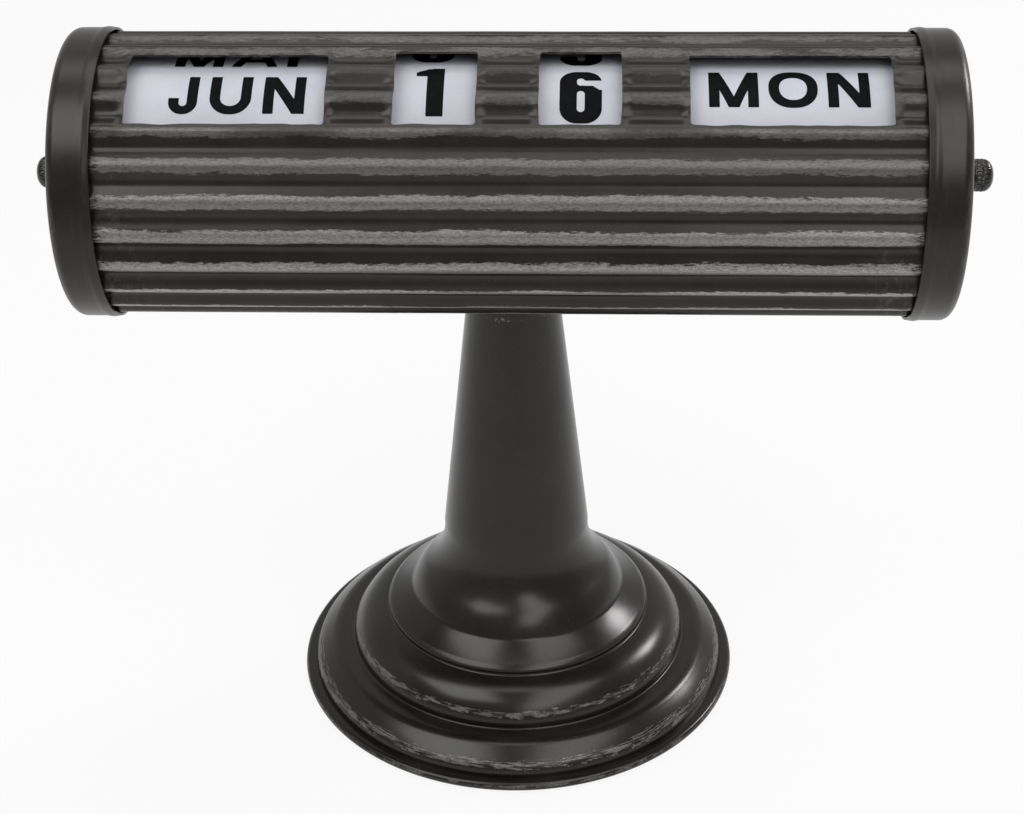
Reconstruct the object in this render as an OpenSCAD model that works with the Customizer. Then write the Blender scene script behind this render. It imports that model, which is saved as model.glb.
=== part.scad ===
// Perpetual desk calendar: a ribbed horizontal barrel on a turned pedestal.
// Four printed drums turn on one axle inside the barrel and show through four windows.
// Millimetres. Origin on the table under the centre, +Z up, +X along the barrel, -Y to the reader.

/* [Barrel] */
// Height of the barrel's axis above the table
axis_h = 194.8; // [170:0.1:230]
// Radius of the tube over its rib crests
crest_r = 45.5; // [40:0.1:52]
// Height of a rib from valley to crest
rib_depth = 2.4; // [1.2:0.1:3]
// Number of ribs round the tube
rib_count = 25; // [16:1:36]
// Angle of the first rib crest above the horizontal
rib_turn = 13.3; // [0:0.1:20]
// Thickness of the tube's sheet metal
sheet = 0.8; // [0.5:0.1:1.2]

/* [Windows] */
// Angle of a window's lower edge above the horizontal
window_low = 44.5; // [38:0.5:50]
// Angle of the month and weekday windows' upper edge above the horizontal
word_window_high = 81; // [72:0.5:85]
// Angle of the digit windows' upper edge above the horizontal
digit_window_high = 83; // [72:0.5:86]
// Width of the month and weekday windows
word_window_w = 62; // [48:0.2:70]
// Width of the two digit windows
digit_window_w = 25.4; // [20:0.2:32]
// Metal left between the two digit windows
centre_web = 19.4; // [18:0.2:26]
// Metal left between a digit window and a word window
side_web = 21; // [14:0.2:28]
// Metal left between a word window and the cap's lip
end_web = 9.5; // [6:0.1:16]

/* [End caps] */
// Depth of the cap from its face to its lip
cap_skirt = 13.9; // [10:0.1:20]
// Thickness of the cap's skirt
cap_wall = 0.8; // [0.5:0.1:1.4]
// Thickness of the cap's face
cap_end = 1.3; // [0.8:0.1:2]
// Gap between the skirt and the rib crests
cap_clear = 0.4; // [0.2:0.05:0.9]
// Outer radius of the cap's rounded corner
cap_corner = 3.6; // [2.8:0.1:5]
// Height of the rolled bead at the cap's lip
cap_bead = 0.3; // [0.1:0.05:0.8]
// Width of the rolled bead at the cap's lip
cap_bead_w = 3; // [2:0.1:5]

/* [Drums] */
// Gap between a drum's label and the tube's valleys
drum_gap = 3.1; // [1.5:0.1:6]
// How far a drum runs on past each side of its window
drum_lap = 3.8; // [2:0.1:5]
// Thickness of a drum's wall
drum_wall = 1.4; // [0.8:0.1:2.5]
// Thickness of the printed label
label_t = 0.25; // [0.15:0.05:0.5]
// Thickness of a drum's end disc
disc_t = 2.5; // [1.5:0.1:4]
// Radius of the hub collar on an end disc
hub_r = 7; // [6:0.1:9]
// Length of the hub collar inside the drum
hub_len = 6; // [3:0.1:9]

/* [Axle] */
// Radius of the axle
axle_r = 2.5; // [2:0.1:3]
// Radial running clearance of a drum on the axle
running = 0.05; // [0.02:0.01:0.1]
// Wall of the spacer sleeves on the axle
sleeve_wall = 1.5; // [1:0.1:2.5]
// Thickness of the fibre friction washers
friction_t = 0.8; // [0.5:0.1:1.5]
// Radius of the friction washers
friction_r = 6.5; // [5:0.1:9]
// Height of the dished spring washers
spring_h = 1.2; // [0.9:0.1:2]
// Thickness of the dished spring washers
spring_t = 0.4; // [0.3:0.05:0.6]
// Radius of an end knob
knob_r = 5.3; // [4.5:0.1:8]
// Length of an end knob
knob_len = 12.5; // [10:0.1:20]
// Length of the knurled head of an end knob
knob_head = 6.2; // [4:0.1:8]
// Solid metal left at the tip of an end knob
knob_tip = 3.4; // [2:0.1:5]
// Radius of the washer under an end knob
knob_washer_r = 7; // [6:0.1:10]
// Thickness of the washer under an end knob
knob_washer_t = 0.8; // [0.5:0.1:1.5]

/* [Pedestal] */
// Radius of the foot over its rolled rim
rim_r = 78; // [70:0.5:90]
// Radius of the rolled rim's bead
rim_bead = 1.6; // [1:0.1:2.5]
// Step in from the rim to the lower ring's edge
low_edge_in = 5.2; // [4.4:0.1:7]
// Height of the lower ring's edge over the rim
low_edge_rise = 4; // [3:0.1:6]
// Width of the lower ring's sloping top
low_cone_w = 6.2; // [4:0.1:8]
// Rise of the lower ring's sloping top
low_cone_rise = 5.2; // [4:0.1:7]
// Reach of the rounding on each side of the lower ring's crest
crest_roll = 2.2; // [1:0.1:2.8]
// Step in from the lower ring's crest to the upper ring's edge
shelf_w = 8.1; // [6:0.1:9]
// Height of the upper ring's edge over the shelf
high_edge_rise = 5.4; // [4:0.1:8]
// Height of the bell's lip over the upper ring's edge
bell_rise = 9.7; // [8:0.1:13]
// Radius of the bell's rounded lip
lip_round = 0.8; // [0.5:0.1:1.1]
// Width of the bell's flare from its lip in to the dome
flare_w = 8.9; // [6:0.1:10]
// Rise of the bell's flare
flare_rise = 6.6; // [5:0.1:8]
// Width of the dome from its foot in to its shoulder
dome_w = 5.6; // [4:0.1:7]
// Rise of the dome
dome_rise = 8.5; // [7:0.1:11]
// Width of the hollow between the dome's shoulder and the column
hollow_w = 6.8; // [5:0.1:8]
// Rise of the hollow
hollow_rise = 18; // [14:0.1:22]
// Radius of the column at its foot
column_low_r = 25.4; // [21:0.1:28]
// Radius of the column at the barrel
column_top_r = 15.6; // [12:0.1:20]
// Thickness of the pedestal's wall
shell_wall = 1.6; // [1:0.1:2.4]

/* [Base] */
// Thickness of the felt pad
pad_t = 2; // [1:0.1:3]
// How far the pad stands below the rim
pad_proud = 0.4; // [0.2:0.1:0.8]
// Gap between the weight's flange and the pedestal's wall
weight_gap = 2; // [1:0.1:4]
// Thickness of the weight's lower flange
weight_flange_t = 3.4; // [2:0.1:4]
// Radius of the recess for the lower nut
recess_r = 9; // [7:0.1:14]
// Depth of the recess for the lower nut
recess_h = 6; // [5.6:0.1:7]

/* [Tie rod] */
// Radius of the tie rod
rod_r = 2.5; // [2:0.1:3]
// Width across flats of the tie rod's nuts
nut_af = 8; // [7:0.1:9]
// Height of the tie rod's nuts
nut_h = 4; // [3:0.1:5]
// Length of rod that stands past each nut
rod_past = 0.8; // [0.2:0.1:2]
// Thickness of the curved saddle under the upper nut
saddle_t = 2.4; // [1.5:0.1:3]
// Depth of the saddle from front to back
saddle_d = 15; // [10:0.1:20]
// Radius of the lower washer
rod_washer_r = 7.5; // [5:0.1:8]
// Thickness of the lower washer
rod_washer_t = 1; // [0.6:0.1:1.4]

/* [Hidden] */

// Fineness of round parts, of a rib's wave and of a turned curve
round_fn = 96;
rib_steps = 8;
arc_steps = 8;
// Clearance of threads and of plain holes, gap left where curved faces seat, and cutting overrun
thread_clear = 0.05;
hole_clear = 0.15;
seat_gap = 0.05;
over = 1;
// Gap round the felt pad and at each end of the saddle
pad_gap = 0.4;
saddle_gap = 1;

// Places along the barrel, measured from its middle
digit_x = centre_web / 2 + digit_window_w / 2;
word_x = centre_web / 2 + digit_window_w + side_web + word_window_w / 2;
lip_x = word_x + word_window_w / 2 + end_web;
face_x = lip_x + cap_skirt;
cap_inside_x = face_x - cap_end;
// The tube's ends bear on the rounded inside corner of the caps
corner_share = 1 - cap_clear / (cap_corner - cap_wall);
tube_x = face_x - cap_corner + (cap_corner - cap_end) * sqrt(1 - corner_share * corner_share)
    - seat_gap;

// Radii about the barrel's axis
cap_r = crest_r + cap_clear + cap_wall;
valley_r = crest_r - rib_depth - sheet;
label_r = valley_r - drum_gap;
drum_r = label_r - label_t;
bore_r = drum_r - drum_wall;
sleeve_r = axle_r + hole_clear + sleeve_wall;

// Drums and what lies between them on the axle
word_drum_l = word_window_w + 2 * drum_lap;
digit_drum_l = digit_window_w + 2 * drum_lap;
side_gap = side_web - 2 * drum_lap;
centre_gap = centre_web - 2 * drum_lap;
end_gap = cap_inside_x - word_x - word_drum_l / 2;
knob_x = face_x + knob_washer_t;
axle_x = knob_x + knob_len - knob_tip;

// Pedestal radii: the rings from the rim inwards, the bell from the column outwards
low_edge_r = rim_r - low_edge_in;
crest_ring_r = low_edge_r - low_cone_w;
high_edge_r = crest_ring_r - shelf_w;
shoulder_r = column_low_r + hollow_w;
dome_r = shoulder_r + dome_w;
lip_r = dome_r + flare_w;

// Pedestal heights, from the rim upwards
rim_top = pad_proud + 2 * rim_bead;
low_edge_h = rim_top + low_edge_rise;
shelf_h = low_edge_h + low_cone_rise;
high_edge_h = shelf_h + high_edge_rise;
lip_h = high_edge_h + bell_rise;
groove_h = lip_h - 2 * lip_round;
dome_h = lip_h + flare_rise;
shoulder_h = dome_h + dome_rise;
column_foot_h = shoulder_h + hollow_rise;
barrel_low_z = axis_h - crest_r;
pad_r = rim_r - 2 * rim_bead;

// Slope of the rings' edges, rounding at the upper ring's foot and swell of each turned curve
edge_batter = 1.2;
foot_round = 0.35;
edge_sag = 0.4;
cone_sag = 0.12;
swell_sag = 1.5;
flare_sag = 0.2;
dome_sag = 0.5;
hollow_sag = 2.1;

// Weight inside the foot, up to the underside of the shelf
weight_r = low_edge_r - shell_wall - weight_gap;
weight_r_high = crest_ring_r - crest_roll - shell_wall;
weight_top = shelf_h - shell_wall - seat_gap;

// Tie rod and what it clamps
saddle_w = centre_gap - 2 * saddle_gap;
saddle_z = axis_h - valley_r + saddle_t;
recess_top = pad_t + recess_h;
rod_low = recess_top - rod_washer_t - nut_h - rod_past;
rod_high = saddle_z + nut_h + rod_past;

// Points on an elliptic arc about c, with half widths r, from angle a0 to a1
function arc_pts(c, r, a0, a1, n = arc_steps) = [
    for (i = [0 : n])
        let (a = a0 + (a1 - a0) * i / n)
        [c[0] + r[0] * cos(a), c[1] + r[1] * sin(a)]
];

// Points on a shallow curve from p up to but not at q, standing out by sag at the middle
function bow_pts(p, q, sag, n = arc_steps) =
    let (d = q - p, out = [d[1], -d[0]] / norm(d))
    [for (i = [0 : n - 1]) let (t = i / n) p + d * t + out * 4 * sag * t * (1 - t)];

// Points on a bend from p to q that starts and ends in line with the corner c
function bend_pts(p, c, q, n = arc_steps) = [
    for (i = [0 : n])
        let (t = i / n)
        (1 - t) * (1 - t) * p + 2 * t * (1 - t) * c + t * t * q
];

// Where the rounding of the lower ring's crest starts, on the ring's sloping top
cone_len = norm([low_cone_w, low_cone_rise]);
roll_start = [
    crest_ring_r + crest_roll * low_cone_w / cone_len,
    shelf_h - crest_roll * low_cone_rise / cone_len
];

// Turned outline of the pedestal, radius against height, from the rim's foot to the column's top
function pedestal_outline() = concat(
    arc_pts([rim_r - rim_bead, pad_proud + rim_bead], [rim_bead, rim_bead], -90, 90),
    bow_pts([low_edge_r + edge_batter, rim_top], [low_edge_r, low_edge_h], edge_sag),
    bow_pts([low_edge_r, low_edge_h], roll_start, cone_sag),
    bend_pts(roll_start, [crest_ring_r, shelf_h], [crest_ring_r - crest_roll, shelf_h]),
    [[high_edge_r + edge_batter + 2 * foot_round, shelf_h]],
    bow_pts(
        [high_edge_r + edge_batter, shelf_h + foot_round], [high_edge_r, high_edge_h], edge_sag
    ),
    bow_pts([high_edge_r, high_edge_h], [lip_r, groove_h], swell_sag),
    [[lip_r, groove_h]],
    arc_pts([lip_r - lip_round, lip_h - lip_round / 2], [lip_round, lip_round], -40, 50),
    bow_pts([lip_r - lip_round, lip_h + lip_round], [dome_r, dome_h], -flare_sag),
    bow_pts([dome_r, dome_h], [shoulder_r, shoulder_h], dome_sag),
    bow_pts([shoulder_r, shoulder_h], [column_low_r, column_foot_h], -hollow_sag),
    [
        [column_low_r, column_foot_h],
        [column_top_r, barrel_low_z],
        [column_top_r, axis_h]
    ]
);

// Turns a solid from an outline that starts and ends off the axis
module turned(outline) {
    rotate_extrude($fn = round_fn)
        polygon(concat([[0, outline[0][1]]], outline, [[0, outline[len(outline) - 1][1]]]));
}

// Lays a solid that was built along +Z down along +X, centred on the barrel's axis
module along_x(x = 0) {
    translate([x, 0, axis_h])
        rotate([0, 90, 0])
            children();
}

// Puts children at +x and their mirror image at -x
module both_ends() {
    children();
    mirror([1, 0, 0])
        children();
}

// Ring about the barrel's axis, from x to x + l
module ring(x, l, r_out, r_in) {
    along_x(x)
        difference() {
            cylinder(h = l, r = r_out, $fn = round_fn);
            translate([0, 0, -over])
                cylinder(h = l + 2 * over, r = r_in, $fn = round_fn);
        }
}

// Radius of the tube's outer surface at an angle above the horizontal front
function rib_r(a) = crest_r - rib_depth / 2 * (1 - cos(rib_count * (a - rib_turn)));

// Point on the tube at an angle above the horizontal front, in Y and height
function rib_point(a, inset) = [-(rib_r(a) - inset) * cos(a), (rib_r(a) - inset) * sin(a)];

module tube_outline(inset) {
    step = 360 / (rib_count * rib_steps);
    polygon([for (i = [0 : rib_count * rib_steps - 1]) rib_point(rib_turn + i * step, inset)]);
}

// Wedge that cuts one window, with its upper edge at the angle high, through the tube's wall
module window_wedge(x, w, high) {
    mid = (window_low + high) / 2;
    near = bore_r;
    // The wedge's far corners lie past the crests on every side
    reach = (crest_r + over) / cos((high - window_low) / 4);
    translate([x - w / 2, 0, axis_h])
        rotate([90, 0, 90])
            linear_extrude(height = w)
                polygon([
                    [-near * cos(window_low), near * sin(window_low)],
                    [-reach * cos(window_low), reach * sin(window_low)],
                    [-reach * cos(mid), reach * sin(mid)],
                    [-reach * cos(high), reach * sin(high)],
                    [-near * cos(high), near * sin(high)]
                ]);
}

module barrel() {
    color("#3a3734")
        difference() {
            translate([-tube_x, 0, axis_h])
                rotate([90, 0, 90])
                    linear_extrude(height = 2 * tube_x)
                        difference() {
                            tube_outline(0);
                            tube_outline(sheet);
                        }
            for (side = [-1, 1]) {
                window_wedge(side * word_x, word_window_w, word_window_high);
                window_wedge(side * digit_x, digit_window_w, digit_window_high);
            }
            translate([0, 0, barrel_low_z - over])
                cylinder(h = crest_r, r = rod_r + hole_clear, $fn = round_fn);
        }
}

// Section of the right-hand cap: distance in from its face against radius
function cap_outline() = concat(
    [[0, axle_r + hole_clear]],
    arc_pts([cap_corner, cap_r - cap_corner], [cap_corner, cap_corner], 180, 90),
    arc_pts([cap_skirt - cap_bead_w / 2, cap_r], [cap_bead_w / 2, cap_bead], 180, 0),
    [[cap_skirt, cap_r - cap_wall]],
    arc_pts(
        [cap_corner, cap_r - cap_corner],
        [cap_corner - cap_end, cap_corner - cap_wall], 90, 180
    ),
    [[cap_end, axle_r + hole_clear]]
);

module cap() {
    along_x(face_x)
        rotate_extrude($fn = round_fn)
            polygon([for (p = cap_outline()) [p[1], -p[0]]]);
}

module cap_left() {
    color("#353230")
        mirror([1, 0, 0])
            cap();
}

module cap_right() {
    color("#353230")
        cap();
}

module axle() {
    color("silver")
        along_x(-axle_x)
            cylinder(h = 2 * axle_x, r = axle_r, $fn = round_fn);
}

// Knob with a plain shank and a round-ended head
module end_knob() {
    bevel = 0.5;
    nose = 0.75 * knob_r;
    along_x(knob_x)
        difference() {
            turned(concat(
                [[knob_r - bevel, 0], [knob_r - bevel / 2, bevel]],
                [[knob_r - bevel / 2, knob_len - knob_head - bevel]],
                [[knob_r, knob_len - knob_head]],
                arc_pts([knob_r - nose, knob_len - knob_tip], [nose, knob_tip], 0, 90)
            ));
            translate([0, 0, -over])
                cylinder(
                    h = knob_len - knob_tip + over + seat_gap,
                    r = axle_r + thread_clear, $fn = round_fn
                );
        }
}

module end_knob_left() {
    color("#2b2a2a")
        mirror([1, 0, 0])
            end_knob();
}

module end_knob_right() {
    color("#2b2a2a")
        end_knob();
}

module knob_washers() {
    color("#8a8a8a")
        both_ends()
            ring(face_x, knob_washer_t, knob_washer_r, axle_r + hole_clear);
}

module outer_sleeves() {
    color("silver")
        both_ends()
            ring(
                cap_inside_x - end_gap + friction_t + spring_h,
                end_gap - friction_t - spring_h, sleeve_r, axle_r + hole_clear
            );
}

module inner_sleeves() {
    color("silver")
        both_ends()
            ring(
                digit_x + digit_drum_l / 2 + friction_t, side_gap - 2 * friction_t,
                sleeve_r, axle_r + hole_clear
            );
}

module centre_sleeve() {
    color("silver")
        ring(
            friction_t - centre_gap / 2, centre_gap - 2 * friction_t,
            sleeve_r, axle_r + hole_clear
        );
}

module friction_washers() {
    color("#7a3b2a")
        both_ends() {
            ring(centre_gap / 2 - friction_t, friction_t, friction_r, axle_r + hole_clear);
            ring(digit_x + digit_drum_l / 2, friction_t, friction_r, axle_r + hole_clear);
            ring(
                word_x - word_drum_l / 2 - friction_t, friction_t,
                friction_r, axle_r + hole_clear
            );
            ring(word_x + word_drum_l / 2, friction_t, friction_r, axle_r + hole_clear);
        }
}

// Dished washers between the outer sleeves and the outermost friction washers
module spring_washers() {
    inside_r = axle_r + hole_clear;
    x = word_x + word_drum_l / 2 + friction_t;
    color("#b8b4a8")
        both_ends()
            along_x(x)
                rotate_extrude($fn = round_fn)
                    polygon([
                        [inside_r, spring_h - spring_t], [inside_r, spring_h],
                        [friction_r, spring_t], [friction_r, 0]
                    ]);
}

// Thin drum wall about the middle x
module drum(x, l) {
    ring(x - l / 2, l, drum_r, bore_r);
}

// Two end discs with hub collars, set inside the ends of the drum wall
module end_discs(x, l) {
    for (side = [0, 1])
        translate([x, 0, 0])
            mirror([side, 0, 0])
                along_x(l / 2 - disc_t)
                    difference() {
                        union() {
                            cylinder(h = disc_t, r = bore_r, $fn = round_fn);
                            translate([0, 0, -hub_len])
                                cylinder(h = hub_len + disc_t, r = hub_r, $fn = round_fn);
                        }
                        translate([0, 0, -hub_len - over])
                            cylinder(
                                h = hub_len + disc_t + 2 * over,
                                r = axle_r + running, $fn = round_fn
                            );
                    }
}

// Printed paper band round the drum wall
module label(x, l) {
    ring(x - l / 2, l, label_r, drum_r);
}

module month_drum() {
    color("#b9a27c") drum(-word_x, word_drum_l);
}

module month_end_discs() {
    color("#a58c64") end_discs(-word_x, word_drum_l);
}

module month_label() {
    color("#e9e9ee") label(-word_x, word_drum_l);
}

module tens_drum() {
    color("#b9a27c") drum(-digit_x, digit_drum_l);
}

module tens_end_discs() {
    color("#a58c64") end_discs(-digit_x, digit_drum_l);
}

module tens_label() {
    color("#e9e9ee") label(-digit_x, digit_drum_l);
}

module units_drum() {
    color("#b9a27c") drum(digit_x, digit_drum_l);
}

module units_end_discs() {
    color("#a58c64") end_discs(digit_x, digit_drum_l);
}

module units_label() {
    color("#e9e9ee") label(digit_x, digit_drum_l);
}

module weekday_drum() {
    color("#b9a27c") drum(word_x, word_drum_l);
}

module weekday_end_discs() {
    color("#a58c64") end_discs(word_x, word_drum_l);
}

module weekday_label() {
    color("#e9e9ee") label(word_x, word_drum_l);
}

// Hollow turned shell: foot, bell and column in one, cut to saddle the barrel
module pedestal() {
    outline = pedestal_outline();
    color("#33302e")
        difference() {
            turned(outline);
            translate([0, 0, -shell_wall])
                turned([for (p = outline) [p[0] - shell_wall, p[1]]]);
            translate([0, 0, pad_proud - shell_wall])
                cylinder(h = shell_wall + seat_gap, r = pad_r, $fn = round_fn);
            along_x(-rim_r)
                cylinder(h = 2 * rim_r, r = crest_r + seat_gap, $fn = round_fn);
        }
}

module base_weight() {
    color("#4a4a4c")
        difference() {
            union() {
                translate([0, 0, pad_t])
                    cylinder(h = weight_flange_t, r = weight_r, $fn = round_fn);
                translate([0, 0, pad_t])
                    cylinder(h = weight_top - pad_t, r = weight_r_high, $fn = round_fn);
            }
            translate([0, 0, pad_t - over])
                cylinder(h = recess_h + over, r = recess_r, $fn = round_fn);
            cylinder(h = weight_top + over, r = rod_r + hole_clear, $fn = round_fn);
        }
}

module felt_pad() {
    color("#2f2f31")
        cylinder(h = pad_t, r = pad_r - pad_gap, $fn = round_fn);
}

module tie_rod() {
    color("silver")
        translate([0, 0, rod_low])
            cylinder(h = rod_high - rod_low, r = rod_r, $fn = round_fn);
}

// Hexagon nut with two flats square to the barrel's axis
module nut(z) {
    translate([0, 0, z])
        difference() {
            rotate([0, 0, 30])
                cylinder(h = nut_h, r = nut_af / 2 / cos(30), $fn = 6);
            translate([0, 0, -over])
                cylinder(h = nut_h + 2 * over, r = rod_r + thread_clear, $fn = round_fn);
        }
}

module upper_nut() {
    color("silver") nut(saddle_z);
}

module lower_nut() {
    color("silver") nut(recess_top - rod_washer_t - nut_h);
}

// Curved block that spreads the upper nut's load over the tube's valleys
module rod_saddle() {
    color("#8a8a8a")
        difference() {
            intersection() {
                translate([-saddle_w / 2, -saddle_d / 2, axis_h - crest_r])
                    cube([saddle_w, saddle_d, saddle_z - axis_h + crest_r]);
                along_x(-saddle_w)
                    cylinder(h = 2 * saddle_w, r = valley_r - seat_gap, $fn = round_fn);
            }
            translate([0, 0, axis_h - crest_r - over])
                cylinder(h = crest_r, r = rod_r + hole_clear, $fn = round_fn);
        }
}

module rod_washer() {
    color("#8a8a8a")
        translate([0, 0, recess_top - rod_washer_t])
            difference() {
                cylinder(h = rod_washer_t, r = rod_washer_r, $fn = round_fn);
                translate([0, 0, -over])
                    cylinder(h = rod_washer_t + 2 * over, r = rod_r + hole_clear, $fn = round_fn);
            }
}

barrel();
cap_left();
cap_right();
axle();
end_knob_left();
end_knob_right();
knob_washers();
outer_sleeves();
inner_sleeves();
centre_sleeve();
friction_washers();
spring_washers();
month_drum();
month_end_discs();
month_label();
tens_drum();
tens_end_discs();
tens_label();
units_drum();
units_end_discs();
units_label();
weekday_drum();
weekday_end_discs();
weekday_label();
pedestal();
base_weight();
felt_pad();
tie_rod();
upper_nut();
lower_nut();
rod_saddle();
rod_washer();
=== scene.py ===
"""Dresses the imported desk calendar: ribbed barrel, turned foot, printed drums, light and camera.

Metres, in the row frame: origin on the table under the centre, +Z up, +X along the barrel.
Shape helpers work in millimetres and are scaled by MM when a mesh is made.
"""
import math

import bmesh
import bpy
import numpy as np
from mathutils import Matrix, Vector, noise
from mathutils.geometry import tessellate_polygon

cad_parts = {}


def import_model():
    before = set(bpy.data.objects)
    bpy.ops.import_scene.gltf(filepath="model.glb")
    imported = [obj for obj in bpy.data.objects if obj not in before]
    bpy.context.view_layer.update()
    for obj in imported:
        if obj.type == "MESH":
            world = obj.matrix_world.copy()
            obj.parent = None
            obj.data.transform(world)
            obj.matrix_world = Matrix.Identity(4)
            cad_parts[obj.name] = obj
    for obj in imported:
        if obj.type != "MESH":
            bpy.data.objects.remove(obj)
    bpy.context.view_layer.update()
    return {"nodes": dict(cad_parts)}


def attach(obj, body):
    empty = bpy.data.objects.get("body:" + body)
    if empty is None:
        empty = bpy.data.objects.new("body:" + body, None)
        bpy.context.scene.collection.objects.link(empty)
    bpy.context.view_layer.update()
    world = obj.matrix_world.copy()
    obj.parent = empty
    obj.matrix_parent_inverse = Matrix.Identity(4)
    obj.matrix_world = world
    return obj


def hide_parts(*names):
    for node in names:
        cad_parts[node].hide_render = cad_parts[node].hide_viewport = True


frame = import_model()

MM = 0.001
NODES = frame["nodes"]

# Sizes shared with the solids, in millimetres
AXIS_H = 194.8
CREST_R = 45.5
RIB_DEPTH = 2.4
RIB_COUNT = 25
RIB_TURN = 13.3
SHEET = 0.8
WINDOW_LOW = 44.5
WORD_HIGH = 81.0
DIGIT_HIGH = 83.0
DIGIT_X = 22.4
WORD_X = 87.1
DIGIT_HALF = 12.7
WORD_HALF = 31.0
WINDOWS = [(-WORD_X, WORD_HALF, WORD_HIGH), (-DIGIT_X, DIGIT_HALF, DIGIT_HIGH),
           (DIGIT_X, DIGIT_HALF, DIGIT_HIGH), (WORD_X, WORD_HALF, WORD_HIGH)]
LABEL_R = 39.2
FACE_X = 141.5
CAP_SKIRT = 13.9
CAP_WALL = 0.8
CAP_END = 1.3
CAP_CORNER = 3.6
CAP_BEAD = 0.3
CAP_BEAD_W = 4.4
CAP_R = CREST_R + 0.4 + CAP_WALL
TUBE_X = 139.6
AXLE_HOLE_R = 2.65
KNOB_X = FACE_X + 0.8
KNOB_R = 5.3
KNOB_LEN = 12.5
KNOB_TIP = 3.4


# ---------------------------------------------------------------- node materials

class Shade:
    """A small builder for one procedural material."""

    def __init__(self, name):
        self.mat = bpy.data.materials.new(name)
        self.mat.use_nodes = True
        self.tree = self.mat.node_tree
        self.bsdf = self.tree.nodes["Principled BSDF"]
        self.where = self.tree.nodes.new("ShaderNodeTexCoord").outputs["Object"]

    def node(self, kind, links=(), **settings):
        n = self.tree.nodes.new(kind)
        for key, value in settings.items():
            setattr(n, key, value)
        for socket, value in dict(links).items():
            self.put(n.inputs[socket], value)
        return n

    def put(self, socket, value):
        if isinstance(value, bpy.types.NodeSocket):
            self.tree.links.new(value, socket)
        else:
            socket.default_value = value

    def math(self, op, a, b=0.0, clamp=False):
        return self.node("ShaderNodeMath", {0: a, 1: b}, operation=op, use_clamp=clamp).outputs[0]

    def add(self, a, b):
        return self.math("ADD", a, b)

    def sub(self, a, b):
        return self.math("SUBTRACT", a, b)

    def mul(self, a, b, clamp=False):
        return self.math("MULTIPLY", a, b, clamp=clamp)

    def top(self, a, b):
        return self.math("MAXIMUM", a, b)

    def vmath(self, op, a, b=(0, 0, 0)):
        return self.node("ShaderNodeVectorMath", {0: a, 1: b}, operation=op)

    def scaled(self, factors=(1, 1, 1), offset=(0, 0, 0)):
        """Object coordinates moved by offset (metres) and multiplied by factors."""
        moved = self.vmath("ADD", self.where, offset).outputs[0]
        return self.vmath("MULTIPLY", moved, factors).outputs[0]

    def noise(self, vector, scale, detail=4.0, rough=0.55, warp=0.0):
        return self.node("ShaderNodeTexNoise", {
            "Vector": vector, "Scale": scale, "Detail": detail, "Roughness": rough,
            "Distortion": warp}).outputs["Fac"]

    def ramp(self, value, low, high):
        """0 below low, 1 above high, smooth between."""
        return self.node("ShaderNodeMapRange", {
            "Value": value, "From Min": low, "From Max": high, "To Min": 0.0, "To Max": 1.0},
            interpolation_type="SMOOTHSTEP").outputs[0]

    def remap(self, value, low, high):
        """0..1 spread over low..high."""
        return self.node("ShaderNodeMapRange", {
            "Value": value, "From Min": 0.0, "From Max": 1.0,
            "To Min": low, "To Max": high}).outputs[0]

    def mix(self, factor, a, b):
        n = self.tree.nodes.new("ShaderNodeMix")
        n.data_type = "RGBA"
        self.put(n.inputs[0], factor)
        for i, value in ((6, a), (7, b)):
            self.put(n.inputs[i], (*value, 1.0) if isinstance(value, tuple) else value)
        return n.outputs[2]

    def bump(self, height, strength, distance):
        n = self.node("ShaderNodeBump", {
            "Height": height, "Strength": strength, "Distance": distance})
        self.put(self.bsdf.inputs["Normal"], n.outputs[0])

    def finish(self, color, rough, metallic=0.0, specular=0.5, **fixed):
        self.put(self.bsdf.inputs["Base Color"], color)
        self.put(self.bsdf.inputs["Roughness"], rough)
        self.put(self.bsdf.inputs["Metallic"], metallic)
        self.bsdf.inputs["Specular IOR Level"].default_value = specular
        for key, value in fixed.items():
            self.bsdf.inputs[key.replace("_", " ")].default_value = value
        return self.mat


BRONZE_DARK = (0.0068, 0.0056, 0.0046)
BRONZE_WARM = (0.0160, 0.0121, 0.0092)
BRONZE_GLOSS = 0.36
BRONZE_SHEEN = (1.0, 0.955, 0.905, 1.0)
PEDESTAL_SHEEN = (1.0, 0.99, 0.985, 1.0)
RUBBED = (0.300, 0.295, 0.283)
RUBBED_DULL = (0.105, 0.102, 0.097)
# Upper ribs' bare metal; it also colours the painted highlight lines on the top ribs
WEAR_AND_SHEEN_HIGH_RIB = (0.165, 0.160, 0.152)
# Lower ribs' bare metal, painted lighter to stand for the white floor's reflection on top of the
# wear
WEAR_AND_FLOOR_SHEEN_LOW_RIB = (0.560, 0.540, 0.515)


def bronze_base(s):
    """Brown-black patina with soft cloudy variation; returns its colour and its cloud value."""
    cloud = s.noise(s.scaled(), 38.0, 5.0, 0.6, 0.4)
    fine = s.noise(s.scaled(), 420.0, 3.0, 0.6)
    both = s.add(s.mul(cloud, 0.75), s.mul(fine, 0.25))
    return s.mix(s.ramp(both, 0.35, 0.68), BRONZE_DARK, BRONZE_WARM), cloud


def dusted(s, color, amount_low, amount_high, scale=900.0):
    """Adds small pale specks where the patina is thin."""
    speck = s.ramp(s.noise(s.scaled(), scale, 2.0, 0.7), amount_low, amount_high)
    return s.mix(s.mul(speck, 0.25), color, RUBBED_DULL)


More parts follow.
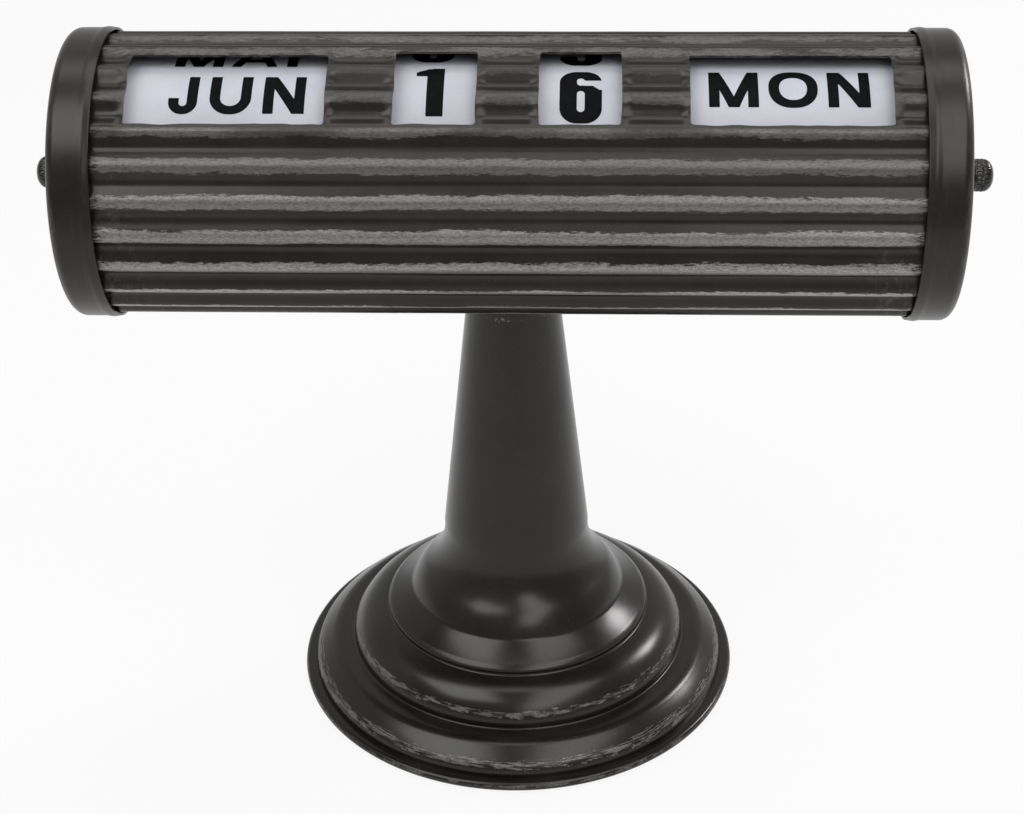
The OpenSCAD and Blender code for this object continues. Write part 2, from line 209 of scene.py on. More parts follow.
def ribbed_bronze():
    s = Shade("ribbed_bronze")
    base, cloud = bronze_base(s)
    base = dusted(s, base, 0.66, 0.78)
    about = s.scaled((0, 1, 1), (0, 0, -AXIS_H * MM))
    radius = s.vmath("LENGTH", about).outputs["Value"]
    split = s.node("ShaderNodeSeparateXYZ", {0: about})
    toward = s.mul(split.outputs[1], -1.0)
    angle = s.math("ARCTAN2", split.outputs[2], toward)

    def past(low, high):
        """0 at low and 1 at high, in degrees up round the barrel from the reader's side."""
        return s.ramp(angle, math.radians(low), math.radians(high))

    # Lower ribs carry their pale strips a little below the crests and more widely: partly wear,
    # partly a painted reflection of the white floor on their downward flanks
    sunk = s.sub(1.0, past(-32, -4))
    phase = s.mul(s.sub(angle, math.radians(RIB_TURN)), RIB_COUNT)
    # The top ribs get thin pale lines on the side towards the reader: painted highlights, with a
    # little wear
    crown_highlight = s.mul(past(76.5, 79.0), past(103, 100))
    shift = s.add(s.mul(sunk, 0.9), s.mul(crown_highlight, 1.2))
    crest = s.math("COSINE", s.add(phase, shift))
    # Ragged strips of bare metal along the crests: wavy edges, torn finely, with a frosty grain
    wave = s.ramp(s.noise(s.scaled((38, 180, 180)), 1.0, 2.0, 0.5), 0.30, 0.70)
    torn = s.ramp(s.noise(s.scaled((300, 1300, 1300)), 1.0, 6.0, 0.75, 0.3), 0.34, 0.66)
    fleck = s.ramp(s.noise(s.scaled((700, 1700, 1700)), 1.0, 4.0, 0.7), 0.34, 0.58)
    grain = s.noise(s.scaled((1300, 3000, 3000)), 1.0, 2.0, 0.6)
    ragged = s.add(s.mul(wave, 0.50), s.mul(torn, 0.50))
    limit = s.sub(s.sub(0.70, s.mul(sunk, 0.16)), s.mul(ragged, s.remap(sunk, 0.95, 0.60)))
    limit = s.add(limit, s.mul(crown_highlight, 0.50))
    rubbed_and_sheen = s.ramp(s.sub(crest, limit), -0.08, 0.22)
    rubbed_and_sheen = s.mul(rubbed_and_sheen, s.remap(fleck, 0.52, 1.0))
    # The face turned to the reader is handled most, down from the windows' lower edges
    front = s.ramp(s.math("DIVIDE", toward, CREST_R * MM), 0.05, 0.60)
    low = s.ramp(s.math("DIVIDE", split.outputs[2], -CREST_R * MM), -0.700, -0.660)
    patchy = s.ramp(s.noise(s.scaled((30, 60, 60)), 1.0, 3.0, 0.6), 0.38, 0.62)
    upper = past(32, 38)
    cut_edge = past(43.4, 42.4)
    handled_and_sheen = s.mul(low, s.remap(front, 0.35, 1.0))
    handled_and_sheen = s.mul(handled_and_sheen, s.sub(1.0, s.mul(upper, s.remap(patchy, 0.60, 0.0))))
    handled_and_sheen = s.mul(handled_and_sheen, cut_edge)
    # The crests between the windows are only dulled
    between = s.mul(past(48, 51), past(77, 62))
    handled_and_sheen = s.top(handled_and_sheen, s.mul(between, 0.5))
    # The painted highlight lines on the top ribs join the rubbed areas here
    handled_and_sheen = s.top(handled_and_sheen, s.mul(crown_highlight, 0.75))
    along = s.math("ABSOLUTE", s.node("ShaderNodeSeparateXYZ", {0: s.where}).outputs[0])
    near_cap = s.ramp(along, (FACE_X - CAP_SKIRT - 24) * MM, (FACE_X - CAP_SKIRT) * MM)
    brushed = s.ramp(s.noise(s.scaled((420, 200, 200)), 1.0, 5.0, 0.75), 0.50, 0.74)
    spread = s.mul(s.mul(near_cap, brushed), s.mul(handled_and_sheen, 0.22))
    # The strips start raggedly a little way in from the caps
    inset = s.sub((FACE_X - CAP_SKIRT) * MM, along)
    inset = s.add(inset, s.mul(s.sub(torn, 0.5), 5.0 * MM))
    wear_and_sheen = s.mul(s.mul(rubbed_and_sheen, handled_and_sheen, clamp=True), s.ramp(inset, 0.2 * MM, 2.4 * MM))
    total = s.top(wear_and_sheen, spread)
    # Bare metal is painted lighter the lower the rib: wear, plus a painted reflection and bounce of
    # the white floor
    low_rib_floor_sheen = s.node("ShaderNodeMapRange", {
        "Value": angle, "From Min": math.radians(28), "From Max": math.radians(-30),
        "To Min": 0.0, "To Max": 0.83}).outputs[0]
    metal = s.mix(low_rib_floor_sheen, WEAR_AND_SHEEN_HIGH_RIB, WEAR_AND_FLOOR_SHEEN_LOW_RIB)
    metal = s.mix(s.mul(s.ramp(grain, 0.70, 0.30), 0.45), metal, RUBBED_DULL)
    color = s.mix(s.mul(total, 0.95), base, metal)
    rough = s.add(s.remap(cloud, 0.26, 0.34), s.mul(total, 0.16))
    height = s.sub(s.mul(cloud, 0.5), s.mul(total, 0.25))
    height = s.add(height, s.mul(s.mul(grain, total), 0.4))
    s.bump(height, 0.5, 0.12 * MM)
    return s.finish(color, rough, s.mul(total, 0.60), BRONZE_GLOSS, Specular_Tint=BRONZE_SHEEN)


def cap_bronze():
    s = Shade("cap_bronze")
    base, cloud = bronze_base(s)
    base = dusted(s, base, 0.64, 0.80, 700.0)
    brushed = s.noise(s.scaled((500, 40, 40)), 1.0, 4.0, 0.6)
    base = s.mix(s.mul(s.ramp(brushed, 0.55, 0.80), 0.20), base, RUBBED_DULL)
    along = s.math("ABSOLUTE", s.node("ShaderNodeSeparateXYZ", {0: s.where}).outputs[0])
    # Light rubbing on the bead at the lip and on the rounded outer corner
    off_bead = s.math("ABSOLUTE", s.sub(along, (FACE_X - CAP_SKIRT + 1.2) * MM))
    bead = s.sub(1.0, s.ramp(off_bead, 0.2 * MM, 0.9 * MM))
    off_corner = s.math("ABSOLUTE", s.sub(along, (FACE_X - 1.4) * MM))
    corner = s.sub(1.0, s.ramp(off_corner, 0.3 * MM, 1.3 * MM))
    torn = s.ramp(s.noise(s.scaled((260, 120, 120)), 1.0, 5.0, 0.7), 0.46, 0.66)
    edge = s.mul(s.top(s.mul(bead, 0.25), s.mul(corner, 0.6)), torn)
    color = s.mix(s.mul(edge, 0.6), base, RUBBED_DULL)
    rough = s.remap(cloud, 0.27, 0.38)
    s.bump(s.add(s.mul(brushed, 0.3), cloud), 0.35, 0.10 * MM)
    return s.finish(color, rough, s.mul(edge, 0.3), BRONZE_GLOSS, Specular_Tint=BRONZE_SHEEN)


def ring_wear(s, radius, height, r0, h0, reach, torn):
    """Wear round a turned edge at radius r0 and height h0."""
    dr = s.sub(radius, r0 * MM)
    dh = s.sub(height, h0 * MM)
    away = s.math("SQRT", s.add(s.mul(dr, dr), s.mul(dh, dh)))
    limit = s.mul(torn, reach * MM)
    return s.ramp(s.sub(limit, away), -0.10 * MM, 0.35 * MM)


def pedestal_bronze():
    s = Shade("pedestal_bronze")
    base, cloud = bronze_base(s)
    base = dusted(s, base, 0.68, 0.80, 800.0)
    split = s.node("ShaderNodeSeparateXYZ", {0: s.where})
    radius = s.vmath("LENGTH", s.scaled((1, 1, 0))).outputs["Value"]
    height = split.outputs[2]
    angle = s.math("ARCTAN2", split.outputs[1], split.outputs[0])
    # Noise drawn out round the axis, so scratches follow the turning
    ring_place = s.node("ShaderNodeCombineXYZ", {
        0: s.mul(s.math("COSINE", angle), 3.2),
        1: s.mul(s.math("SINE", angle), 3.2),
        2: s.mul(s.add(s.mul(radius, 3.0), height), 420.0)}).outputs[0]
    drawn = s.noise(ring_place, 3.4, 6.0, 0.72, 0.1)
    patch = s.ramp(s.noise(s.scaled(), 60.0, 4.0, 0.65), 0.34, 0.66)
    chip = s.noise(s.scaled(), 1500.0, 4.0, 0.72)
    torn = s.add(s.mul(s.ramp(drawn, 0.42, 0.62), 0.80), s.mul(patch, 0.35))
    torn = s.add(torn, s.sub(s.mul(chip, 0.25), 0.30))
    wear = s.top(ring_wear(s, radius, height, 72.9, 7.7, 2.7, torn),
                 ring_wear(s, radius, height, 58.6, 18.2, 1.7, s.add(torn, 0.15)))
    wear = s.mul(wear, s.remap(s.ramp(drawn, 0.45, 0.56), 0.12, 0.80))
    rim = ring_wear(s, radius, height, 77.6, 2.6, 1.0, torn)
    collar = ring_wear(s, radius, height, 15.7, 149.0, 4.0, s.sub(torn, 0.62))
    wear = s.top(wear, s.top(s.mul(rim, 0.6), collar))
    scratch = s.ramp(drawn, 0.70, 0.80)
    total = s.top(wear, s.mul(scratch, 0.10))
    metal = s.mix(s.ramp(chip, 0.35, 0.65), RUBBED_DULL, RUBBED)
    color = s.mix(s.mul(total, 0.85), base, metal)
    rough = s.add(s.remap(cloud, 0.20, 0.29), s.mul(total, 0.20))
    s.bump(s.sub(s.mul(cloud, 0.6), s.mul(total, 0.3)), 0.35, 0.10 * MM)
    return s.finish(color, rough, s.mul(total, 0.4), BRONZE_GLOSS, Specular_Tint=PEDESTAL_SHEEN)


def knob_black():
    s = Shade("knob_black")
    base, cloud = bronze_base(s)
    torn = s.ramp(s.noise(s.scaled(), 700.0, 4.0, 0.7), 0.56, 0.72)
    color = s.mix(s.mul(torn, 0.15), base, RUBBED_DULL)
    s.bump(cloud, 0.3, 0.05 * MM)
    return s.finish(color, s.remap(cloud, 0.14, 0.24), 0.1, 0.5)


def plain_metal(name, dark, light, rough_low, rough_high, stretch=(1, 1, 1), scale=300.0):
    """Bare metal with drawn or turned marks."""
    s = Shade(name)
    marks = s.noise(s.scaled(stretch), scale, 4.0, 0.6)
    stain = s.noise(s.scaled(), 60.0, 3.0, 0.6)
    color = s.mix(s.mul(s.add(marks, stain), 0.5), dark, light)
    s.bump(marks, 0.3, 0.05 * MM)
    return s.finish(color, s.remap(marks, rough_low, rough_high), 1.0, 0.5)


def fibre_red():
    s = Shade("fibre")
    fibres = s.noise(s.scaled((300, 1400, 300)), 1.0, 5.0, 0.7)
    color = s.mix(fibres, (0.16, 0.045, 0.028), (0.30, 0.10, 0.06))
    s.bump(fibres, 0.5, 0.05 * MM)
    return s.finish(color, s.remap(fibres, 0.6, 0.85), 0.0, 0.3)


def board(name, dark, light):
    """Grey-brown pressed board or turned wood, with grain along the barrel."""
    s = Shade(name)
    grain = s.noise(s.scaled((60, 700, 700)), 1.0, 5.0, 0.65, 0.5)
    color = s.mix(s.ramp(grain, 0.30, 0.70), dark, light)
    s.bump(grain, 0.5, 0.08 * MM)
    return s.finish(color, s.remap(grain, 0.55, 0.75), 0.0, 0.35)


PAPER = (0.660, 0.680, 0.745)
PAPER_SHADE = (0.590, 0.610, 0.670)


def label_paper():
    s = Shade("label_paper")
    fibres = s.noise(s.scaled(), 900.0, 5.0, 0.7)
    cloud = s.noise(s.scaled(), 55.0, 3.0, 0.5)
    tone = s.add(s.mul(fibres, 0.3), s.mul(cloud, 0.7))
    color = s.mix(s.ramp(tone, 0.60, 0.30), PAPER, PAPER_SHADE)
    s.bump(s.add(s.mul(fibres, 0.4), cloud), 0.25, 0.08 * MM)
    return s.finish(color, s.remap(fibres, 0.50, 0.65), 0.0, 0.25)


def label_ink():
    s = Shade("label_ink")
    patchy = s.noise(s.scaled(), 500.0, 4.0, 0.7)
    color = s.mix(s.ramp(patchy, 0.30, 0.75), (0.0025, 0.0027, 0.0034), (0.0060, 0.0064, 0.0080))
    s.bump(patchy, 0.2, 0.03 * MM)
    return s.finish(color, s.remap(patchy, 0.60, 0.75), 0.0, 0.05)


def grey_iron():
    s = Shade("grey_iron")
    skin = s.noise(s.scaled(), 380.0, 6.0, 0.75)
    rust = s.ramp(s.noise(s.scaled(), 50.0, 4.0, 0.6), 0.52, 0.75)
    color = s.mix(skin, (0.030, 0.030, 0.032), (0.075, 0.074, 0.073))
    color = s.mix(s.mul(rust, 0.4), color, (0.09, 0.035, 0.015))
    s.bump(skin, 0.8, 0.3 * MM)
    return s.finish(color, s.remap(skin, 0.6, 0.85), 0.3, 0.4)


def felt():
    s = Shade("felt")
    pile = s.noise(s.scaled(), 1400.0, 6.0, 0.8)
    clump = s.noise(s.scaled(), 160.0, 3.0, 0.6)
    tone = s.add(s.mul(pile, 0.6), s.mul(clump, 0.4))
    color = s.mix(tone, (0.010, 0.010, 0.011), (0.040, 0.040, 0.044))
    s.bump(tone, 0.9, 0.4 * MM)
    return s.finish(color, 0.95, 0.0, 0.2, Sheen_Weight=0.35, Sheen_Roughness=0.5)


MATS = {
    "ribbed_bronze": ribbed_bronze(),
    "cap_bronze": cap_bronze(),
    "pedestal_bronze": pedestal_bronze(),
    "knob_black": knob_black(),
    "bright_steel": plain_metal("bright_steel", (0.36, 0.36, 0.37), (0.60, 0.60, 0.60), 0.22, 0.38,
                                (0.05, 1, 1), 900.0),
    "zinc": plain_metal("zinc", (0.20, 0.20, 0.205), (0.42, 0.42, 0.43), 0.30, 0.48),
    "sleeve_alloy": plain_metal("sleeve_alloy", (0.45, 0.45, 0.46), (0.62, 0.62, 0.63), 0.25, 0.40,
                                (1, 0.1, 0.1), 700.0),
    "fibre": fibre_red(),
    "drum_shell": board("drum_shell", (0.20, 0.15, 0.10), (0.38, 0.31, 0.22)),
    "disc_wood": board("disc_wood", (0.26, 0.18, 0.10), (0.45, 0.34, 0.21)),
    "label_paper": label_paper(),
    "label_ink": label_ink(),
    "grey_iron": grey_iron(),
    "felt": felt(),
}


# ---------------------------------------------------------------- mesh helpers

def piece(name, verts, faces, slot, body, sharp=35.0, replaces=()):
    """One named mesh object that rides on a body and takes a slot's material."""
    mesh = bpy.data.meshes.new(name)
    mesh.from_pydata([(x * MM, y * MM, z * MM) for x, y, z in verts], [], faces)
    mesh.validate()
    bm = bmesh.new()
    bm.from_mesh(mesh)
    bmesh.ops.recalc_face_normals(bm, faces=bm.faces)
    bm.to_mesh(mesh)
    bm.free()
    mesh.polygons.foreach_set("use_smooth", [True] * len(mesh.polygons))
    mesh.set_sharp_from_angle(angle=math.radians(sharp))
    obj = bpy.data.objects.new(name, mesh)
    bpy.context.scene.collection.objects.link(obj)
    mesh.materials.append(MATS[slot])
    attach(obj, body)
    if replaces:
        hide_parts(*replaces)
    return obj


def arc(c, r, a0, a1, n):
    """Points on an elliptic arc about c, from angle a0 to a1 in degrees."""
    return [(c[0] + r[0] * math.cos(math.radians(a0 + (a1 - a0) * i / n)),
             c[1] + r[1] * math.sin(math.radians(a0 + (a1 - a0) * i / n))) for i in range(n + 1)]


def bow(p, q, sag, n):
    """Points on a shallow curve from p up to but not at q, standing out by sag."""
    dx, dz = q[0] - p[0], q[1] - p[1]
    length = math.hypot(dx, dz)
    out = (dz / length, -dx / length)
    return [(p[0] + dx * i / n + out[0] * 4 * sag * (i / n) * (1 - i / n),
             p[1] + dz * i / n + out[1] * 4 * sag * (i / n) * (1 - i / n)) for i in range(n)]


def lathe(outline, place, segments, closed=True):
    """Rings of vertices through outline points; place(r, t, angle) gives a point in millimetres."""
    verts, faces = [], []
    for r, t in outline:
        for k in range(segments):
            verts.append(place(r, t, 2 * math.pi * k / segments))
    count = len(outline)
    for i in range(count if closed else count - 1):
        j = (i + 1) % count
        for k in range(segments):
            m = (k + 1) % segments
            faces.append((i * segments + k, i * segments + m, j * segments + m, j * segments + k))
    return verts, faces


# ---------------------------------------------------------------- barrel

def rib_wave(angle):
    """0 on a rib's crest, 1 in its valley."""
    return 0.5 * (1 - math.cos(math.radians(RIB_COUNT * (angle - RIB_TURN))))


def smooth(x, low, high):
    t = min(1.0, max(0.0, (x - low) / (high - low)))
    return t * t * (3 - 2 * t)


WINDOW_CORNER = 0.9
FLAT_FAR = 3.4
EDGE_KEEP = 0.42


def flatten_at(x, angle):
    """How much of the rib's wave is left beside a window, where the sheet was pressed flat."""
    keep = 1.0
    for wx, half, high in WINDOWS:
        side = abs(x - wx) - half
        over = max(WINDOW_LOW - angle, angle - high, 0.0) * math.radians(1) * CREST_R
        if side < FLAT_FAR:
            far = math.hypot(max(side, 0.0), 1.6 * over)
            keep = min(keep, EDGE_KEEP + (1 - EDGE_KEEP) * smooth(far, 0.0, FLAT_FAR))
    return keep


def grid_lines(points, step, low, high):
    """Given places plus even steps between them no wider than step."""
    marks = sorted(set([low, high] + [p for p in points if low < p < high]))
    out = [marks[0]]
    for a, b in zip(marks, marks[1:]):
        n = max(1, math.ceil((b - a) / step - 1e-6))
        out += [a + (b - a) * (i + 1) / n for i in range(n)]
    return out


def barrel_skin():
    per_mm = 1 / (math.radians(1) * CREST_R)
    c = WINDOW_CORNER
    x_marks, a_marks = [], []
    for wx, half, high in WINDOWS:
        for side in (-1, 1):
            edge = wx + side * half
            x_marks += [edge, edge - side * 0.3 * c, edge - side * c]
            x_marks += [edge + side * d for d in (0.5, 1.0, 1.5, 2.0, 2.5, 3.0, 3.6)]
    for edge, side in ((WINDOW_LOW, -1), (WORD_HIGH, 1), (DIGIT_HIGH, 1)):
        a_marks += [edge, edge - side * 0.3 * c * per_mm, edge - side * c * per_mm]
    xs = grid_lines(x_marks, 3.0, -TUBE_X, TUBE_X)
    angles = grid_lines(a_marks, 360 / RIB_COUNT / 16, -90.0 + 0.01, 270.0 + 0.01)[:-1]
    nx, na = len(xs), len(angles)

    def shifted(x, angle):
        """The cut edges of the windows wander a little, as a hand-filed edge does."""
        dx = da = 0.0
        for k, (wx, half, high) in enumerate(WINDOWS):
            for side in (-1, 1):
                near = 1 - smooth(abs(x - (wx + side * half)), 0.2, 3.0)
                if near > 0:
                    wave = noise.noise(Vector((angle * 0.11, 7.3 * k + 3.1 * side, 0.5)))
                    dx += near * 0.42 * wave
            if abs(x - wx) < half + 2.0:
                for edge in (WINDOW_LOW, high):
                    near = 1 - smooth(abs(angle - edge) / per_mm, 0.2, 2.0)
                    if near > 0:
                        da += near * 0.34 * per_mm * noise.noise(Vector((x * 0.16, 2.7 * k, edge)))
        return x + dx, angle + da

    verts = []
    for inset in (0.0, SHEET):
        for a in angles:
            for x in xs:
                sx, sa = shifted(x, a)
                keep = flatten_at(x, a)
                wobble = 0.10 * noise.noise(Vector((sx * 0.03, math.cos(math.radians(a)) * 2.0,
                                                    math.sin(math.radians(a)) * 2.0)))
                r = CREST_R - RIB_DEPTH * (0.5 + keep * (rib_wave(a) - 0.5)) + wobble - inset
                r = min(r, CREST_R - inset)
                verts.append((sx, -r * math.cos(math.radians(sa)),
                              AXIS_H + r * math.sin(math.radians(sa))))

    def opening(i, j):
        """None where the cell is metal, else the triangle kept in a rounded corner, or ()."""
        mx = (xs[i] + xs[i + 1]) / 2
        ma = (angles[j] + angles[(j + 1) % na]) / 2
        for wx, half, high in WINDOWS:
            if abs(mx - wx) < half and WINDOW_LOW < ma < high:
                dx = half - abs(mx - wx)
                low_side = ma - WINDOW_LOW < high - ma
                da = (ma - WINDOW_LOW if low_side else high - ma) / per_mm
                if dx > c or da > c:
                    return ()
                right = mx > wx
                in_x, in_a = dx > 0.3 * c, da > 0.3 * c
                if in_x and in_a:
                    return ()
                if not in_x and not in_a:
                    return None
                # Cell corners as (x step, angle step); drop the one towards the window's middle
                away = (0 if right else 1, 1 if low_side else 0)
                return [p for p in ((0, 0), (1, 0), (1, 1), (0, 1)) if p != away]
        return None

    faces = []
    layer = na * nx
    edges = {}
    for j in range(na):
        for i in range(nx - 1):
            kept = opening(i, j)
            corners = ((0, 0), (1, 0), (1, 1), (0, 1)) if kept is None else kept
            if not corners:
                continue
            loop = [((j + dj) % na) * nx + i + di for di, dj in corners]
            faces.append(tuple(loop))
            faces.append(tuple(v + layer for v in reversed(loop)))
            for a, b in zip(loop, loop[1:] + loop[:1]):
                edges[(a, b)] = edges.get((a, b), 0) + 1
    for (a, b) in edges:
        if (b, a) not in edges:
            faces.append((b, a, a + layer, b + layer))
    used = sorted({v for f in faces for v in f})
    index = {v: n for n, v in enumerate(used)}
    return piece("barrel_skin", [verts[v] for v in used],
                 [tuple(index[v] for v in f) for f in faces],
                 "ribbed_bronze", "frame", 50.0, ("barrel",))


barrel_skin()


# ---------------------------------------------------------------- caps and knobs

def cap_outline():
    """Radius against distance in from the face, as in the solid, with finer curves."""
    n = 14
    return ([(AXLE_HOLE_R, 0.0)]
            + [(r, t) for t, r in arc((CAP_CORNER, CAP_R - CAP_CORNER), (CAP_CORNER, CAP_CORNER),
                                      180, 90, n)]
            + [(CAP_R + CAP_BEAD * math.sin(math.pi * i / n) ** 2,
                CAP_SKIRT - CAP_BEAD_W * (1 - i / n)) for i in range(n + 1)]
            + [(CAP_R - CAP_WALL, CAP_SKIRT)]
            + [(r, t) for t, r in arc((CAP_CORNER, CAP_R - CAP_CORNER),
                                      (CAP_CORNER - CAP_END, CAP_CORNER - CAP_WALL), 90, 180, n)]
            + [(AXLE_HOLE_R, CAP_END)])


def along_barrel(side, start):
    """Place function for a part turned about the barrel's axis and built in from start."""
    def place(r, t, angle):
        return (side * (start - t), r * math.sin(angle), AXIS_H + r * math.cos(angle))
    return place


def knob_surface(side):
    """Collar, neck and knurled dome of the round nut on the axle's end."""
    bevel = 0.5
    head = KNOB_LEN - 6.2
    nose = 0.75 * KNOB_R
    outline = [(AXLE_HOLE_R, 0.0), (KNOB_R - bevel, 0.0), (KNOB_R - bevel / 2, bevel)]
    outline += [(KNOB_R - bevel / 2, bevel + (head - 2 * bevel) * i / 6) for i in range(1, 7)]
    straight = KNOB_LEN - KNOB_TIP
    outline += [(KNOB_R, head + (straight - head) * i / 12) for i in range(13)]
    outline += arc((KNOB_R - nose, straight), (nose, KNOB_TIP), 0, 90, 14)[1:]
    outline += [(0.02, KNOB_LEN)]
    teeth, depth = 26, 0.26

    def place(r, t, angle):
        if head <= t < KNOB_LEN - 0.6 and r > 1:
            left = math.cos(teeth * angle + 1.25 * t)
            right = math.cos(teeth * angle - 1.25 * t)
            fade = smooth(t, head, head + 0.8) * (1 - smooth(t, straight + 0.6, KNOB_LEN - 1.0))
            r -= depth * fade * (1 - max(left, right) * 0.5 - 0.5 * abs(left * right))
        return (side * (KNOB_X + t), r * math.sin(angle), AXIS_H + r * math.cos(angle))

    return lathe(outline, place, 208, closed=False)


for side, word in ((-1, "left"), (1, "right")):
    v, f = lathe(cap_outline(), along_barrel(side, FACE_X), 224)
    piece("cap_shell_" + word, v, f, "cap_bronze", "frame", 30.0, ("cap_" + word,))
    v, f = knob_surface(side)
    piece("knob_" + word, v, f, "knob_black", "frame", 60.0, ("end_knob_" + word,))


# ---------------------------------------------------------------- pedestal

def bend(p, c, q, n):
    """Points on a bend from p to q that starts and ends in line with the corner c."""
    return [tuple((1 - t) ** 2 * p[k] + 2 * t * (1 - t) * c[k] + t * t * q[k] for k in (0, 1))
            for t in (i / n for i in range(n + 1))]


# Height of the rim's underside, just above the table
PAD_PROUD = 0.4


def pedestal_outline(n):
    """The turned outline of the solid, with n steps to a curve."""
    rim_r, rim_bead, lip_round = 78.0, 1.6, 1.1
    batter, foot_round, roll, groove_round = 1.2, 0.7, 2.2, 1.2
    low_r, low_h = 72.8, 7.6
    crest_r, shelf_h = 66.6, 12.8
    high_r, high_h = 58.5, 18.2
    lip_r, lip_h = 46.7, 27.9
    dome_r, dome_h = 37.8, 34.5
    shoulder_r, shoulder_h = 32.2, 43.0
    foot_r, foot_h = 25.4, 61.0
    column_taper, column_h = 9.8, 88.3
    rim_top = PAD_PROUD + 2 * rim_bead
    groove_h = lip_h - 2 * lip_round
    cone = math.hypot(low_r - crest_r, shelf_h - low_h)
    roll_start = (crest_r + roll * (low_r - crest_r) / cone,
                  shelf_h - roll * (shelf_h - low_h) / cone)
    return (arc((rim_r - rim_bead, PAD_PROUD + rim_bead), (rim_bead, rim_bead), -90, 90, n)
            + bow((low_r + batter, rim_top), (low_r, low_h), 0.4, n)
            + bow((low_r, low_h), roll_start, 0.12, n)
            + bend(roll_start, (crest_r, shelf_h), (crest_r - roll, shelf_h), n)
            + bend((high_r + batter + 2 * foot_round, shelf_h), (high_r + batter, shelf_h),
                   (high_r + batter, shelf_h + foot_round), n)[:-1]
            + bow((high_r + batter, shelf_h + foot_round), (high_r, high_h), 0.4, n)
            + bow((high_r, high_h), (lip_r + groove_round, groove_h), 1.5, n)
            + bend((lip_r + groove_round, groove_h), (lip_r, groove_h + 0.1),
                   (lip_r, groove_h + 0.9), n)
            + arc((lip_r - lip_round, lip_h - lip_round / 2), (lip_round, lip_round), -40, 50, n)
            + bow((lip_r - lip_round, lip_h + lip_round), (dome_r, dome_h), -0.2, n)
            + bow((dome_r, dome_h), (shoulder_r, shoulder_h), 0.5, n)
            + bow((shoulder_r, shoulder_h), (foot_r, foot_h), -2.1, 2 * n)
            + [(foot_r - column_taper * i / n, foot_h + column_h * i / n) for i in range(n + 1)])


def turned_pedestal():
    outline = pedestal_outline(12)
    top = outline[-1][1]
    wall = 1.6
    inner = [(r - wall, z - wall) for r, z in reversed(outline)]
    inner = [(r, max(z, PAD_PROUD)) for r, z in inner]
    seat_r = CREST_R - 0.5 * RIB_DEPTH

    def place(r, z, angle):
        x, y = r * math.cos(angle), r * math.sin(angle)
        if z > top - wall - 0.01:
            z = AXIS_H - math.sqrt(seat_r * seat_r - y * y)
        return (x, y, z)

    rim_inner = outline[0][0] - wall
    v, f = lathe(outline + inner[:-1] + [(rim_inner, PAD_PROUD)], place, 288)
    return piece("turned_pedestal", v, f, "pedestal_bronze", "frame", 32.0, ("pedestal",))


turned_pedestal()


# ---------------------------------------------------------------- letters and digits

CAP_H = 14.85
STEM = 0.221
BAR = 0.198


# A shape is a function of x and y, in letter heights, that is negative inside the shape

def box(x0, y0, x1, y1):
    return lambda x, y: np.maximum(np.maximum(x0 - x, x - x1), np.maximum(y0 - y, y - y1))


def slant(b0, b1, t0, t1, y0=0.0, y1=1.0):
    """Stroke whose foot spans b0..b1 at y0 and whose head spans t0..t1 at y1."""
    def f(x, y):
        k = (y - y0) / (y1 - y0)
        left = b0 + (t0 - b0) * k
        right = b1 + (t1 - b1) * k
        lean = math.cos(math.atan2(t0 - b0, y1 - y0))
        return np.maximum(np.maximum(left - x, x - right) * lean, np.maximum(y0 - y, y - y1))
    return f


def rounded(x0, y0, x1, y1, r):
    cx, cy, hx, hy = (x0 + x1) / 2, (y0 + y1) / 2, (x1 - x0) / 2 - r, (y1 - y0) / 2 - r
    def f(x, y):
        qx, qy = np.abs(x - cx) - hx, np.abs(y - cy) - hy
        return (np.hypot(np.maximum(qx, 0), np.maximum(qy, 0))
                + np.minimum(np.maximum(qx, qy), 0) - r)
    return f


def oval(cx, cy, a, b, power=2.0):
    def f(x, y):
        k = (np.abs((x - cx) / a) ** power + np.abs((y - cy) / b) ** power) ** (1 / power)
        return (k - 1) * min(a, b)
    return f


def join(*parts):
    return lambda x, y: np.minimum.reduce([p(x, y) for p in parts])


def cut(a, *holes):
    return lambda x, y: np.maximum.reduce([a(x, y)] + [-h(x, y) for h in holes])


def keep(a, *zones):
    return lambda x, y: np.maximum.reduce([a(x, y)] + [z(x, y) for z in zones])


def bowl(x1, y0, y1, r):
    """Closed bowl of B, P, R and D against a stem at x = 0."""
    return keep(cut(rounded(-1, y0, x1, y1, r), rounded(-1, y0 + BAR, x1 - STEM, y1 - BAR,
                                                       max(0.02, r - (STEM + BAR) / 2))),
                box(0, -0.1, 2, 1.1))


